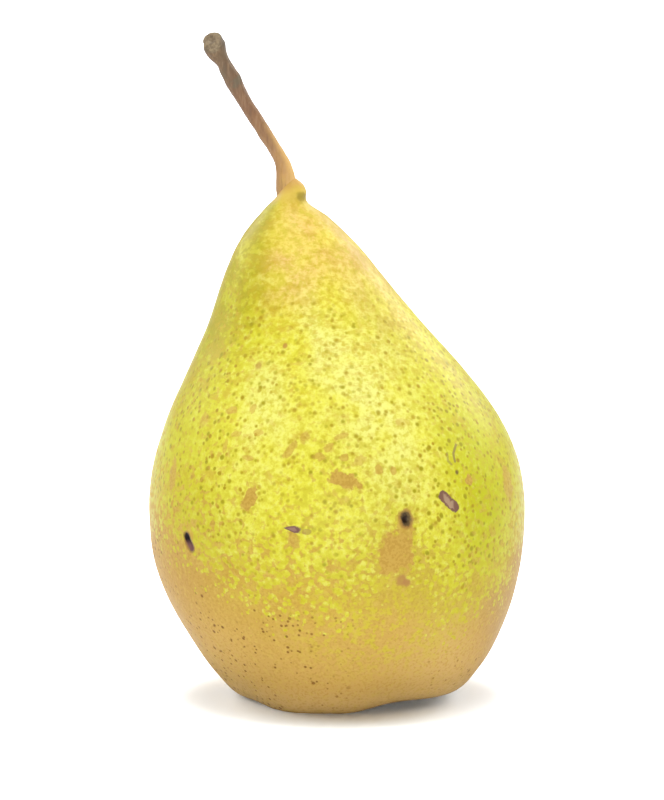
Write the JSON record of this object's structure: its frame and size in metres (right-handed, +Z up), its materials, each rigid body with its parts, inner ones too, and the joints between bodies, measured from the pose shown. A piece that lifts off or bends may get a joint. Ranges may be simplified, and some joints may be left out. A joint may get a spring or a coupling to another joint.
{
  "type": "pear",
  "caption": "Ripe dessert pear with a leaning neck, a slender woody stem in a fleshy knob, and a lobed base round a hollow with a dried calyx; it stands upright on its base.",
  "frame": {"origin": "on the table, midway across the fruit's greatest breadth and depth", "axes": "+Z up through the fruit and its stem, -Y the front, +X to the right, the stem leans towards -X"},
  "size_m": [0.0722, 0.0712, 0.1276],
  "materials": {
    "pear_skin": "waxy satin fruit skin, yellow with green and russet speckles",
    "pear_stem": "dry matt bark",
    "dried_calyx": "dry, papery, matt"
  },
  "bodies": {
    "root": {"fruit": "pear_skin", "stem": "pear_stem", "calyx": "dried_calyx"}
  },
  "joints": []
}
